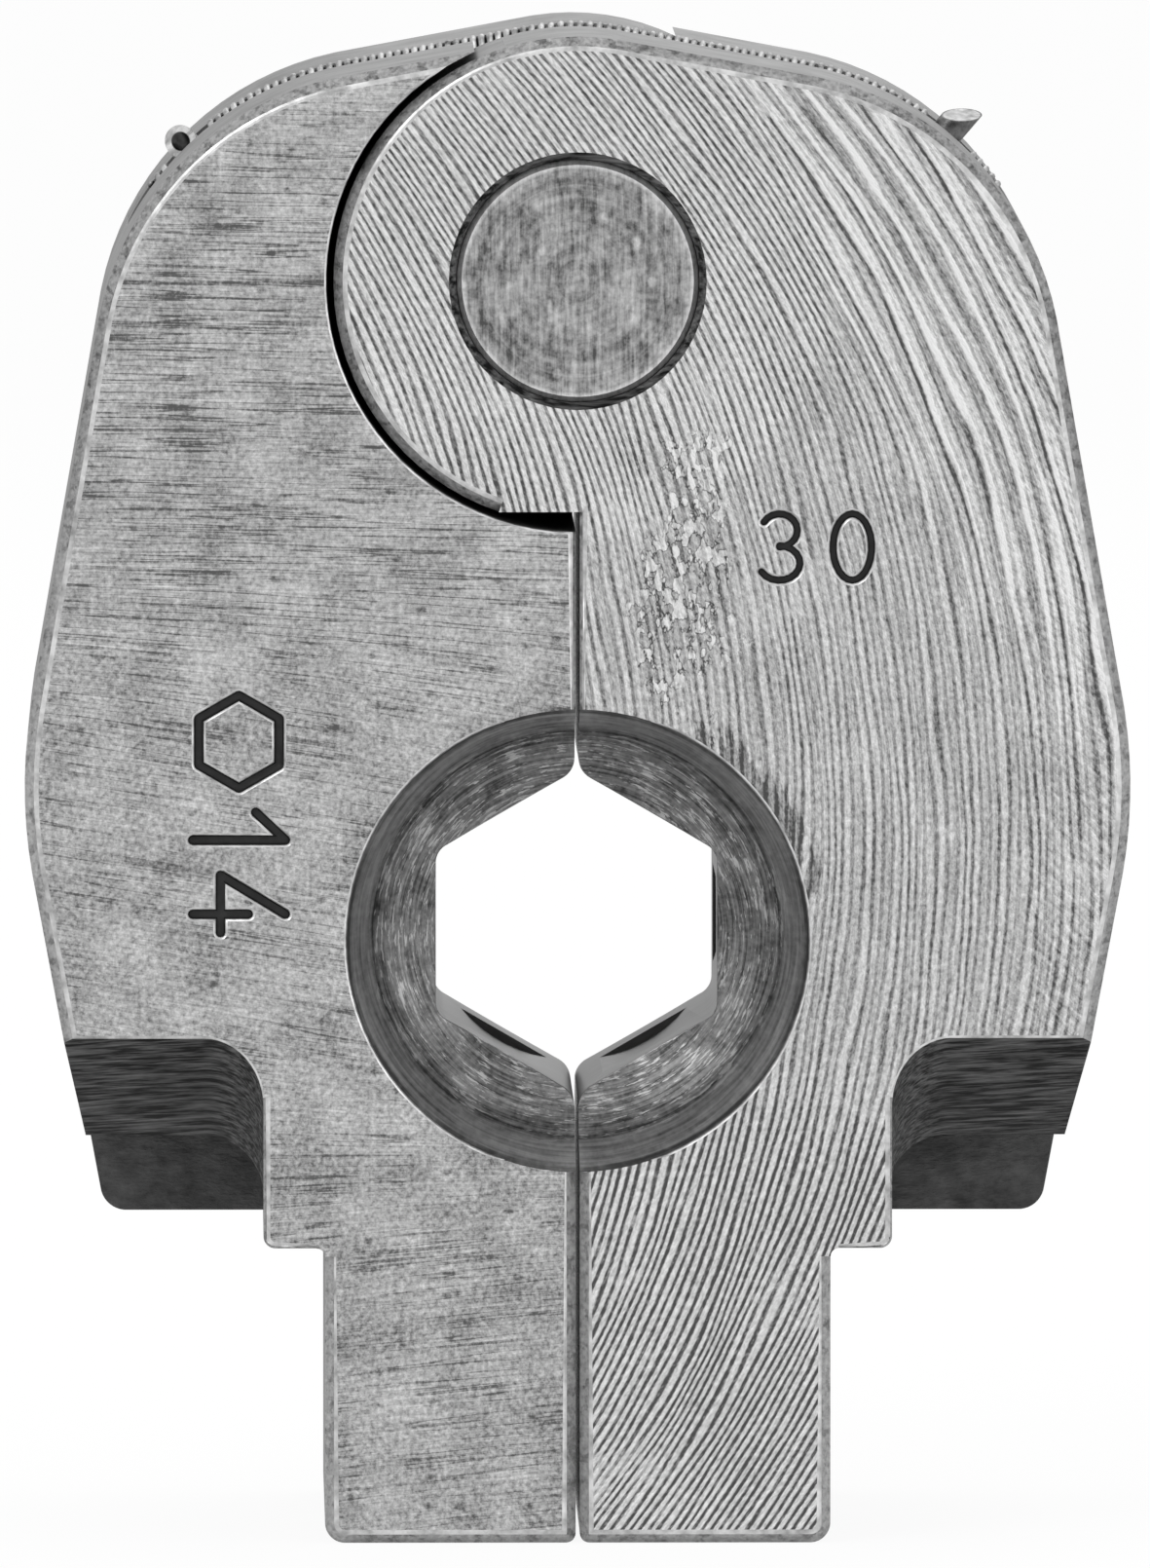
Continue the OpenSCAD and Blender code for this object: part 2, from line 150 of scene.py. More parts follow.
class Finish:
    """A material made of nodes. place is the point on the piece in millimetres."""

    def __init__(self, name):
        self.material = bpy.data.materials.new(name)
        self.material.use_nodes = True
        self.tree = self.material.node_tree
        self.tree.nodes.clear()
        coordinates = self.node("ShaderNodeTexCoord", output="Object")
        self.place = self.node(
            "ShaderNodeVectorMath", {"operation": "SCALE"}, {0: coordinates, "Scale": 1 / MM}
        )
        self.x = self.node("ShaderNodeSeparateXYZ", {}, {0: self.place})
        self.y, self.z = self.x.also("Y"), self.x.also("Z")

    def node(self, kind, settings=None, inputs=None, output=0):
        """Adds a node: its settings first, then the values or links of its sockets."""
        made = self.tree.nodes.new(kind)
        for name, value in (settings or {}).items():
            setattr(made, name, value)
        for key, value in (inputs or {}).items():
            if isinstance(value, Link):
                self.tree.links.new(value.socket, made.inputs[key])
            else:
                made.inputs[key].default_value = value
        return Link(self, made.outputs[output])

    def vector(self, x, y, z):
        return self.node("ShaderNodeCombineXYZ", {}, {0: x, 1: y, 2: z})

    def noise(self, vector, scale, detail=2.0, roughness=0.5):
        """Fractal noise from 0 to 1, around 0.5, with its scale in turns per unit of vector."""
        inputs = {"Vector": vector, "Scale": scale, "Detail": detail, "Roughness": roughness}
        return self.node("ShaderNodeTexNoise", {"noise_dimensions": "3D"}, inputs)

    def cells(self, vector, scale):
        """Distance to the nearest of a scatter of points."""
        return self.node("ShaderNodeTexVoronoi", {"feature": "F1"}, {"Vector": vector, "Scale": scale})

    def ramp(self, value, low, high):
        """0 below low, 1 above high, and smooth between; low may be the greater of the two."""
        settings = {"interpolation_type": "SMOOTHSTEP"}
        return self.node("ShaderNodeMapRange", settings, {"Value": value, 1: low, 2: high})

    def reach(self, x, z):
        """Distance in the face's plane from the point x, z."""
        return ((self.x - x) ** 2.0 + (self.z - z) ** 2.0) ** 0.5

    def crest(self):
        """1 on the outermost line of the spring's wire, 0 where it faces the coil's middle."""
        return self.node("ShaderNodeAttribute", {"attribute_name": "crest"}, output="Fac")

    def grey(self, tone, dark, light):
        """A colour between two greys."""
        inputs = {0: tone, 6: (dark, dark, dark, 1.0), 7: (light, light, light, 1.0)}
        return self.node("ShaderNodeMix", {"data_type": "RGBA"}, inputs, output=2)

    def bump(self, height, depth):
        """A normal that is tilted by a height from 0 to 1, depth in millimetres."""
        return self.node(
            "ShaderNodeBump", {}, {"Height": height, "Distance": depth * MM, "Strength": 1.0}
        )

    def surface(self, **inputs):
        """The principled shader and the material's output."""
        shader = self.node(
            "ShaderNodeBsdfPrincipled", {}, {k.replace("_", " "): v for k, v in inputs.items()}
        )
        self.node_output = self.tree.nodes.new("ShaderNodeOutputMaterial")
        self.tree.links.new(shader.socket, self.node_output.inputs["Surface"])
        return self.material


# Tint of the reflections at a grazing view, which keeps dull steel from turning white there
DULL_RIM = (0.5, 0.5, 0.5, 1.0)


def left_face_steel():
    """Fine-ground face: near-level scratches on flat arcs, mottled, with a few dark pits."""
    f = Finish("left_ground_steel")
    tail = f.ramp(f.z, 26.0, 14.0)
    upper = f.ramp(f.z, 40.0, 50.0)
    level = f.z + (f.x + 12.0) * (0.16 - tail * 0.26 - upper * 0.14)
    long_scratch = f.noise(f.vector(f.x * 0.07, f.y, level * 6.0), 1.0, 3.0, 0.65)
    short_scratch = f.noise(f.vector(f.x * 0.7, f.y, level * 9.0), 1.0, 2.0, 0.6)
    mottle = f.noise(f.place, 0.35, 4.0, 0.6)
    grain = f.noise(f.place, 3.6, 3.0, 0.75)
    cross = f.noise(f.vector(f.x * 5.0, f.y, f.z * 0.8), 1.0, 2.0, 0.6)
    pits = f.ramp(f.cells(f.vector(f.x, f.y, f.z * 1.4), 0.5), 0.16, 0.07)
    sweep = f.noise(f.vector(f.x * 0.05, f.y, level * 2.4), 1.0, 2.0, 0.5)
    line = f.ramp(abs(sweep - 0.5), 0.03, 0.008)
    glint = f.ramp(long_scratch, 0.6, 0.7)
    broken = f.ramp(f.noise(f.place, 0.3, 2.0), 0.3, 0.6)
    tone = (
        0.49 - tail * 0.03 + (short_scratch - 0.5) * (0.5 + upper * 0.3) + (mottle - 0.5) * 0.9
        + (grain - 0.5) * (1.85 - upper * 0.3) + (cross - 0.5) * 0.15 + (long_scratch - 0.5) * 0.4
        - line * (broken + upper * 0.4) * 0.32 + glint * 0.12 - pits * 0.25
    )
    height = short_scratch * 0.3 + grain * 0.8 + cross * 0.1 - line * 0.3 - pits * 0.6
    return f.surface(
        Base_Color=f.grey(tone, 0.10, 0.72), Metallic=0.9,
        Roughness=0.42 + (mottle - 0.5) * 0.2, Normal=f.bump(height, 0.025),
    )


def right_face_steel():
    """Coarsely milled face: ridges on arcs of one large cutter that was fed along X.

    The ridges are even and deep on the tail and the knuckle, broad and uneven at the upper right,
    and broken up elsewhere; a pitted patch lies beside the hinge.
    """
    f = Finish("right_milled_steel")
    cutter_r, cutter_z = 58.0, 35.5
    rise = f.z - cutter_z
    feed = f.x - (cutter_r**2 - rise * rise) ** 0.5
    wander = f.noise(f.vector(feed * 0.3, f.y, f.z * 0.06), 1.0, 1.0)
    pinch = f.noise(f.vector(feed * 1.1, f.y, f.z * 0.22), 1.0, 2.0)
    tail = f.ramp(f.z, 27.0, 19.0)
    knuckle = f.ramp(f.reach(0.0, PIN_Z), 13.2, 12.0)
    even = tail.math("MAXIMUM", knuckle * 0.7)
    shoulder = f.ramp(f.x + f.z * 0.6, 45.0, 52.0)
    fine_phase = (feed + wander * 1.5 + pinch * 0.32) * (2 * math.pi / 0.45)
    broad_phase = (feed + wander * 2.5 + pinch * 0.7) * (2 * math.pi / 0.62)
    coarse_phase = (feed + wander * 2.0 + pinch * 0.8) * (2 * math.pi / 1.25)
    fine = f.ramp(fine_phase.math("SINE"), -0.9, 0.35)
    coarse = f.ramp(coarse_phase.math("SINE"), -1.0, 0.6)
    broad = f.ramp(broad_phase.math("SINE"), -0.9, 0.8) * (1.0 - shoulder * 0.5) + coarse * shoulder
    streak = f.noise(f.vector(feed * 2.6, f.y, f.z * 0.16), 1.0, 3.0, 0.65)
    speck = f.noise(f.vector(feed * 5.0, f.y, f.z * 2.8), 1.0, 3.0, 0.75)
    patches = f.noise(f.place, 0.2, 3.0, 0.6)
    crossing = f.noise(f.vector((f.x + f.z) * 3.0, f.y, (f.x - f.z) * 0.5), 1.0, 2.0, 0.6)
    rim = f.ramp(f.x + abs(f.z - 40.0) * 0.12, 20.0, 26.0)
    patch = ((f.x - 5.4) ** 2.0 + ((f.z - 48.0) * 0.36) ** 2.0) ** 0.5
    worn = f.ramp(patch + (f.noise(f.vector(f.x, f.y, f.z * 0.6), 0.9) - 0.5) * 5.0, 3.0, 1.6)
    blob = f.noise(f.vector(f.x * 1.3, f.y, f.z * 0.75), 1.9, 2.0, 0.55)
    blobs = f.ramp(blob, 0.54, 0.58) * worn
    pits = f.ramp(abs(blob - 0.52), 0.03, 0.01) * worn
    by_rim = f.ramp(f.reach(0.0, DIE_Z), DISH_R + 2.0, DISH_R)
    by_rim = by_rim * f.ramp(f.x, 4.5, 7.5) * f.ramp(f.z, 31.0, 33.0)
    torn = f.ramp(f.noise(f.vector(feed * 1.6, f.y, f.z * 0.4), 1.0, 3.0, 0.6) + by_rim * 0.22, 0.58, 0.66)
    torn = torn * f.ramp(by_rim, 0.05, 0.3)
    polished = f.ramp(patches + (streak - 0.5) * 0.3, 0.6, 0.7)
    ridge = (fine - 0.6) * (even * 0.42 + 0.36) + (broad - 0.5) * (1.0 - even) * (0.16 + shoulder * 0.34)
    relief = (
        ridge * (1.0 - worn * 0.35) * (1.0 - polished * 0.6) + (streak - 0.5) * (0.65 - even * 0.1)
        + (speck - 0.5) * 1.5 + (crossing - 0.5) * (rim * 0.8 + worn * 0.3 + 0.15) - pits * 0.35 - torn * 0.34
    )
    tone = 0.5 - tail * 0.04 + knuckle * 0.06 - shoulder * 0.05 + relief + (patches - 0.5) * 0.35 + polished * 0.08 + blobs * 0.34 - worn * 0.05
    return f.surface(
        Base_Color=f.grey(tone, 0.07, 0.74), Metallic=0.9, Roughness=0.4,
        Normal=f.bump(relief, 0.05),
    )


def bevel_steel():
    """Bevels: mid grey with dark blotches along them, darker round the top."""
    f = Finish("bevel_steel")
    blotch = f.ramp(f.noise(f.place, 1.5, 3.0, 0.65), 0.5, 0.62)
    grain = f.noise(f.place, 4.0, 2.0, 0.6)
    upper = f.ramp(f.z, 46.0, 56.0)
    tone = 0.5 + (grain - 0.5) * 0.8 - blotch * 0.22 - upper * 0.1
    return f.surface(
        Base_Color=f.grey(tone, 0.05, 0.6), Metallic=0.45, Roughness=0.5,
        Normal=f.bump(grain - blotch, 0.015),
    )


def worn_highlit_edge_steel():
    """Rubbed bright lines along the edges, a little uneven: wear with a painted highlight."""
    f = Finish("worn_highlit_edge_steel")
    rub = f.noise(f.place, 1.1, 3.0, 0.6)
    return f.surface(
        Base_Color=f.grey(0.5 + (rub - 0.45) * 2.4, 0.25, 0.68), Metallic=0.9, Roughness=0.35,
        Normal=f.bump(rub, 0.01),
    )


def side_steel():
    """Outer sides: smooth, lightly ground along the outline."""
    f = Finish("side_steel")
    lines = f.noise(f.vector(f.x * 0.25, f.y * 5.0, f.z * 0.25), 1.0, 3.0, 0.6)
    mottle = f.noise(f.place, 0.4, 3.0, 0.6)
    tone = 0.45 + (lines - 0.5) * 0.45 + (mottle - 0.5) * 0.6
    return f.surface(
        Base_Color=f.grey(tone, 0.12, 0.52), Metallic=0.8, Roughness=0.5, Normal=f.bump(lines, 0.008),
        Specular_Tint=DULL_RIM, Specular_IOR_Level=0.2,
    )


def dish_steel():
    """Blackened dish: turned rings on its wall, bright flecks along the rings on its floor."""
    f = Finish("blackened_dish")
    r = f.reach(0.0, DIE_Z)
    round_x, round_z = f.x / r, (f.z - DIE_Z) / r
    rings = f.noise(f.vector(round_x * 2.0, round_z * 2.0, r * 8.0), 1.0, 3.0, 0.6)
    flecks = f.noise(f.vector(round_x * 8.0, round_z * 8.0, r * 8.0), 1.0, 3.0, 0.7)
    cloud = f.noise(f.place, 0.5, 3.0, 0.6)
    floor = f.ramp(r, 10.7, 9.6)
    bright = f.ramp(flecks + (cloud - 0.5) * 0.4, 0.55, 0.64) * floor
    # Painted shade: foot darkens a ring in the corner at the foot of the wall, rim a ring just inside the
    # dish's edge.
    foot = f.ramp(abs(r - 10.15), 0.12, 0.04)
    rim = f.ramp(r, DISH_R - 0.28, DISH_R - 0.16)
    fine = f.noise(f.vector(round_x * 30.0, round_z * 30.0, r * 3.5), 1.0, 2.0, 0.6)
    tone = (
        0.55 + (rings - 0.5) * 1.4 + (cloud - 0.5) * 0.7 + bright * 1.25 - foot * 0.25 - floor * 0.26
        - rim * 0.5 + (fine - 0.5) * 0.6
    )
    return f.surface(
        Base_Color=f.grey(tone, 0.03, 0.42), Metallic=0.45,
        Roughness=0.45 - bright * 0.1, Normal=f.bump(rings * 0.5 + bright * 0.5, 0.015),
    )


def die_steel():
    """Walls of the hexagon: smooth and grey, marked along the opening."""
    f = Finish("die_wall_steel")
    lines = f.noise(f.vector(f.x * 0.4, f.y * 4.0, f.z * 0.4), 1.0, 2.0, 0.6)
    tone = 0.55 + (lines - 0.5) * 0.5
    return f.surface(
        Base_Color=f.grey(tone, 0.08, 0.5), Metallic=0.8, Roughness=0.36, Normal=f.bump(lines, 0.006),
        Specular_Tint=DULL_RIM,
    )


def notch_steel():
    """Blackened claw notches, darker still as painted shade under the overhang, with coarse level milling
    marks.
    """
    f = Finish("blackened_shaded_notch")
    marks = f.noise(f.vector(f.x * 1.2, f.y * 2.5, f.z * 3.0), 1.0, 3.0, 0.65)
    cloud = f.noise(f.place, 0.7, 3.0, 0.6)
    tone = 0.35 + (marks - 0.5) * 0.6 + (cloud - 0.5) * 0.9
    return f.surface(
        Base_Color=f.grey(tone, 0.02, 0.14), Metallic=0.7, Roughness=0.45,
        Normal=f.bump(marks, 0.05),
    )


def ceiling_steel():
    """Blackened notch ceilings and mouths, darker still as painted shade where they face down: milled in
    level lines that run front to back.
    """
    f = Finish("blackened_shaded_ceiling")
    marks = f.noise(f.vector(f.x * 0.3, (f.y + f.x * 0.15) * 3.2, f.z * 3.2), 1.0, 3.0, 0.65)
    cloud = f.noise(f.place, 0.5, 3.0, 0.6)
    tone = 0.33 + (marks - 0.5) * 3.2 + (cloud - 0.5) * 0.6
    return f.surface(
        Base_Color=f.grey(tone, 0.008, 0.15), Metallic=0.2, Roughness=0.7,
        Normal=f.bump(marks, 0.04), Specular_Tint=DULL_RIM, Specular_IOR_Level=0.1,
    )


def inner_steel():
    """Sockets, bores and the spring's groove: dark, as painted shade in these recesses."""
    f = Finish("inner_steel")
    cloud = f.noise(f.place, 0.6, 3.0, 0.6)
    return f.surface(
        Base_Color=f.grey(0.5 + (cloud - 0.5) * 0.8, 0.04, 0.24), Metallic=0.6, Roughness=0.5,
        Normal=f.bump(cloud, 0.01),
    )


def parting_steel():
    """Faces where the halves meet: ground smooth, dark as painted shade in the joint between the halves."""
    f = Finish("parting_steel")
    lines = f.noise(f.vector(f.x, f.y * 4.0, f.z * 0.3), 1.0, 2.0, 0.6)
    return f.surface(
        Base_Color=f.grey(lines, 0.12, 0.4), Metallic=1.0, Roughness=0.16 + (lines - 0.5) * 0.06,
        Specular_Tint=DULL_RIM,
        Normal=f.bump(lines, 0.002),
    )


def mark_steel():
    """Bottoms and walls of the stamped marks: nearly black, as painted shade inside the marks."""
    f = Finish("stamped_mark_steel")
    cloud = f.noise(f.place, 2.0, 2.0, 0.6)
    return f.surface(
        Base_Color=f.grey(cloud, 0.006, 0.03), Metallic=0.5, Roughness=0.55, Normal=f.bump(cloud, 0.02)
    )


def pin_steel():
    """Pin: fine upright brushing on its ends, with faint turned rings and a few pits."""
    f = Finish("brushed_pin_steel")
    r = f.reach(0.0, PIN_Z)
    brushing = f.noise(f.vector(f.x * 5.0, f.y, f.z * 0.45), 1.0, 3.0, 0.65)
    rings = f.noise(f.vector(0.0, f.y, r * 3.5), 1.0, 2.0, 0.5)
    cloud = f.noise(f.place, 0.7, 3.0, 0.6)
    grain = f.noise(f.place, 3.5, 2.0, 0.6)
    spots = f.ramp(f.cells(f.place, 0.45), 0.14, 0.08)
    # rim: a painted highlight round the edge of the pin's end.
    rim = f.ramp(r, PIN_R - 0.5, PIN_R - 0.25)
    tone = (
        0.41 + (brushing - 0.5) * 1.2 + (rings - 0.5) * 0.7 + (cloud - 0.5) * 0.9
        + (grain - 0.5) * 0.9 + rim * 0.45 + spots * 0.3
    )
    return f.surface(
        Base_Color=f.grey(tone, 0.08, 0.62), Metallic=0.9, Roughness=0.38,
        Normal=f.bump(brushing + rings * 0.4, 0.012),
    )


def wire_steel():
    """Spring wire: a painted highlight along the outside of each turn, painted shade between the turns."""
    f = Finish("spring_wire_steel")
    cloud = f.noise(f.place, 1.2, 2.0, 0.6)
    # Lighter on the wire's outer crest, darker where it faces the coil's middle: painted highlight and
    # painted shade.
    painted_crest_highlight = f.ramp(f.crest(), 0.55, 0.95)
    return f.surface(
        Base_Color=f.grey(painted_crest_highlight * (cloud * 2.4 - 0.5), 0.05, 0.6), Metallic=0.9, Roughness=0.38,
        Normal=f.bump(cloud, 0.004), Specular_Tint=DULL_RIM,
    )


def anchor_steel(name, side, angle, core, core_tones, body_tones):
    """An anchor pin: other greys within the radius core of its axis than round it.

    The axis runs from the corner's centre outwards at the angle. The distance from it is the
    length of what is left of a point's offset when the offset's share along the axis is taken off.
    """
    f = Finish(name)
    cloud = f.noise(f.place, 1.8, 3.0, 0.6)
    offset_x, offset_z = f.x * side - CORNER[0], f.z - CORNER[1]
    across = offset_x * -math.sin(angle) + offset_z * math.cos(angle)
    from_axis = (across ** 2.0 + f.y ** 2.0) ** 0.5
    inside = f.ramp(from_axis, core + 0.03, core - 0.03)
    body = f.grey(0.5 + (cloud - 0.5) * 1.8, *body_tones)
    middle = f.grey(0.5 + (cloud - 0.5) * 1.8, *core_tones)
    colour = f.node("ShaderNodeMix", {"data_type": "RGBA"}, {0: inside, 6: body, 7: middle}, output=2)
    return f.surface(
        Base_Color=colour, Metallic=0.85, Roughness=0.36, Normal=f.bump(cloud, 0.02),
        Specular_Tint=DULL_RIM,
    )


def arc(cx, cz, rx, rz, start, end, steps=14):
    """Points on an ellipse: centre plus (rx cos a, rz sin a), a in degrees from start to end."""
    a = np.radians(np.linspace(start, end, steps))
    return np.column_stack((cx + rx * np.cos(a), cz + rz * np.sin(a)))


# Strokes of each mark, on a cell one unit high, and the cell's width
MARKS = {
    "0": ([arc(0.29, 0.5, 0.29, 0.5, 90, 270), arc(0.29, 0.5, 0.29, 0.5, -90, 90)], 0.58),
    "1": ([np.array([(0.0, 0.68), (0.3, 1.0)]), np.array([(0.3, 1.0), (0.3, 0.0)])], 0.42),
    "3": ([arc(0.24, 0.75, 0.27, 0.25, 150, -90), arc(0.24, 0.26, 0.31, 0.26, 90, -150)], 0.56),
    "4": (
        [np.array([(0.42, 1.0), (0.0, 0.3)]), np.array([(0.0, 0.3), (0.62, 0.3)]),
         np.array([(0.42, 0.6), (0.42, 0.0)])],
        0.62,
    ),
    "hexagon": (
        [arc(0.5, 0.5, 0.5, 0.5, 60 * side, 60 * side + 60, 2) for side in range(6)],
        1.0,
    ),
}


# The trenches' flared mouths: how far they widen, and how deep they are
FLARE = 0.11
FLARE_DEPTH = 0.05


def stroke_outline(points, half):
    """Outline of a line of the given half width with round ends, anticlockwise.

    Each point is moved by half along its normal, to one side on the way out and to the other on
    the way back, and a half circle closes each end.
    """
    along = np.gradient(points, axis=0)
    along /= np.linalg.norm(along, axis=1)[:, None]
    normal = np.column_stack((-along[:, 1], along[:, 0]))
    turn = np.linspace(0, math.pi, 7)[1:-1, None]
    end_cap = points[-1] + half * (-normal[-1] * np.cos(turn) + along[-1] * np.sin(turn))
    start_cap = points[0] + half * (normal[0] * np.cos(turn) - along[0] * np.sin(turn))
    return np.vstack((points - half * normal, end_cap, (points + half * normal)[::-1], start_cap))


def stamp_cutter(names, origin, reading, upward, height, gap, width, depth):
    """A solid for each stroke of a row of marks: a trench that flares out at the face.

    Its outline is widest at and before the face, has the stroke's own width FLARE_DEPTH below, and
    narrows to the bottom. origin is the first mark's lower corner in X and Z, reading and upward
    the directions in which the row runs and its marks stand, and all lengths are in millimetres.
    """
    verts, faces = [], []
    cursor = 0.0
    for name in names:
        strokes, cell = MARKS[name]
        for stroke in strokes:
            points = stroke * height
            levels = (
                (width / 2 + FLARE, -HALF_T - depth), (width / 2 + FLARE, -HALF_T),
                (width / 2, -HALF_T + FLARE_DEPTH), (width / 3, -HALF_T + depth),
            )
            base = len(verts)
            for half, y in levels:
                outline = stroke_outline(points, half)
                count = len(outline)
                u = outline[:, 0] + cursor
                xz = np.array(origin) + np.outer(u, reading) + np.outer(outline[:, 1], upward)
                verts.extend((x * MM, y * MM, z * MM) for x, z in xz)
            ring = np.arange(count)
            after = np.roll(ring, -1)
            for level in range(len(levels) - 1):
                low = base + level * count
                faces.extend((low + np.column_stack((ring, after, after + count, ring + count))).tolist())
            faces.append((base + ring[::-1]).tolist())
            faces.append((low + count + ring).tolist())
        cursor += cell * height + gap
    mesh = bpy.data.meshes.new("stamp_cutter")
    mesh.from_pydata(verts, [], faces)
    shape = bmesh.new()
    shape.from_mesh(mesh)
    bmesh.ops.recalc_face_normals(shape, faces=shape.faces)
    shape.to_mesh(mesh)
    shape.free()
    cutter = bpy.data.objects.new("stamp_cutter", mesh)
    bpy.context.scene.collection.objects.link(cutter)
    return cutter


def merged_copy(node):
    """A copy of a CAD node's mesh with its doubled vertices merged, as a new object."""
    shape = bmesh.new()
    shape.from_mesh(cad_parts[node].data)
    bmesh.ops.remove_doubles(shape, verts=shape.verts, dist=0.0005 * MM)
    mesh = bpy.data.meshes.new(node + "_finished")
    shape.to_mesh(mesh)
    shape.free()
    mesh.materials.clear()
    piece = bpy.data.objects.new(node + "_finished", mesh)
    bpy.context.scene.collection.objects.link(piece)
    return piece


def engraved(piece, cutter):
    """Cuts the marks into the piece and removes the cutter."""
    cut = piece.modifiers.new("stamp", "BOOLEAN")
    cut.object, cut.solver, cut.use_self = cutter, "EXACT", True
    graph = bpy.context.evaluated_depsgraph_get()
    mesh = bpy.data.meshes.new_from_object(piece.evaluated_get(graph))
    piece.modifiers.clear()
    piece.data = mesh
    bpy.data.objects.remove(cutter)


FRONT, BEVEL, SIDE, DISH, DIE, NOTCH, INNER, MARK, CEILING, PARTING, WORN_HIGHLIT = range(11)


def zone(point, normal, span, side, mark_box):
    """Which finish a face of a jaw has, from its centre and its reach along Y in millimetres
    and its normal.
    """
    x, y, z = point[0] * side, point[1], point[2]
    nx, ny, nz = normal[0] * side, normal[1], normal[2]
    depth = HALF_T - abs(y)
    if depth < 0.002 and abs(ny) > 0.99:
        return FRONT
    low, high = mark_box
    if y < 0 and depth < 1.0 and low[0] < point[0] < high[0] and low[1] < z < high[1]:
        # The marks' flared mouths take the bright worn finish, which is partly a painted highlight.
        return WORN_HIGHLIT if depth < 0.05 else MARK
    from_die = math.hypot(x, z - DIE_Z)
    from_pin = math.hypot(x, z - PIN_Z)
    if x < 0.15 and abs(nx) > 0.99:
        return PARTING
    if from_die < DISH_R + 0.05:
        return DISH if depth < HALF_T - LIP_Y + 0.05 else DIE
    if depth < 0.6 and abs(ny) > 0.5:
        return BEVEL if from_pin > PIN_R + 0.6 else CEILING
    in_lap = abs(y) < 0.3 or from_pin > SOCKET_R - 0.4 or from_pin < PIN_R + 0.4
    in_groove = abs(y) < 2.3 and z > 52 and span < 5 and from_pin > PIN_R + 0.4
    on_top = z - PIN_Z > from_pin * 0.95 and nz > 0.95
    if in_groove or (from_pin < SOCKET_R + 0.05 and in_lap and not on_top):
        return INNER
    if y < NOTCH_BACK_Y + 0.1 and z < NOTCH_TOP and x > LEG_X - 0.1:
        if nz < -0.6 and ny > -0.8:
            return CEILING
        if ny < -0.9:
            return NOTCH
        if x < 18.7:
            return CEILING
    return SIDE


# How wide the worn line with its painted highlight along an edge is, in millimetres each way, by the finishes
# that meet
WEAR_AND_HIGHLIGHT = {
    frozenset((FRONT, BEVEL)): 0.14, frozenset((FRONT, INNER)): 0.12,
    frozenset((FRONT, DISH)): 0.11, frozenset((DISH, DIE)): 0.05, frozenset((FRONT, CEILING)): 0.08,
}
WIDEST_WEAR_AND_HIGHLIGHT = 0.14


def finished_jaw(node, side, body, cutter, mark_box, face, finishes):
    """A jaw for the eye: marks cut in, each face given its finish, worn rounds with a painted highlight on
    its edges.
    """
    piece = merged_copy(node)
    engraved(piece, cutter)
    shape = bmesh.new()
    shape.from_mesh(piece.data)
    bmesh.ops.dissolve_limit(
        shape, angle_limit=math.radians(0.4), verts=shape.verts, edges=shape.edges
    )
    for polygon in shape.faces:
        centre = polygon.calc_center_median() / MM
        depths = [vertex.co.y / MM for vertex in polygon.verts]
        span = max(depths) - min(depths)
        polygon.material_index = zone(centre, polygon.normal, span, side, mark_box)
    wear_and_highlight = shape.edges.layers.float.new("bevel_weight_edge")
    for edge in shape.edges:
        if len(edge.link_faces) == 2 and edge.calc_face_angle() > math.radians(20):
            meeting = frozenset(p.material_index for p in edge.link_faces)
            middle = (edge.verts[0].co + edge.verts[1].co) / (2 * MM)
            by_corner = abs(middle.x) < 3.2 and abs(abs(middle.z - DIE_Z) - DISH_R) < 0.8
            if math.hypot(middle.x, middle.z - PIN_Z) > PIN_R + 1 and not by_corner:
                edge[wear_and_highlight] = WEAR_AND_HIGHLIGHT.get(meeting, 0.0) / WIDEST_WEAR_AND_HIGHLIGHT
    mesh = bpy.data.meshes.new(piece.name)
    shape.to_mesh(mesh)
    shape.free()
    for finish in (face, *finishes):
        mesh.materials.append(finish)
    piece.data = mesh
    mesh.set_sharp_from_angle(angle=math.radians(32))
    flat = (FRONT, PARTING, NOTCH)
    mesh.polygons.foreach_set("use_smooth", [p.material_index not in flat for p in mesh.polygons])
    # Worn rounds on the edges, in a bright finish that is partly a painted highlight.
    worn = piece.modifiers.new("worn_highlit_edges", "BEVEL")
    worn.limit_method, worn.material = "WEIGHT", WORN_HIGHLIT
    worn.width, worn.segments = WIDEST_WEAR_AND_HIGHLIGHT * MM, 2
    worn.use_clamp_overlap = False
    whole = piece.modifiers.new("plain_faces", "TRIANGULATE")
    whole.min_vertices = 5
    even = piece.modifiers.new("even_shading", "WEIGHTED_NORMAL")
    even.keep_sharp = True
    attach(piece, body)
    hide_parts(node)
    return piece


def spring_run():
    """Lengths along the path's right half: knuckle arc, slope and corner arc, in millimetres."""
    slope = math.radians(90) - TOP_A
    out = np.array((math.cos(TOP_A), math.sin(TOP_A)))
    start = np.array((0.0, PIN_Z)) + KNUCKLE_R * out
    end = np.array(CORNER) + CORNER_R * out
    return (
        (KNUCKLE_R - PATH_INSET) * slope,
        float(np.linalg.norm(end - start)),
        (CORNER_R - PATH_INSET) * (TOP_A - END_A),
    )


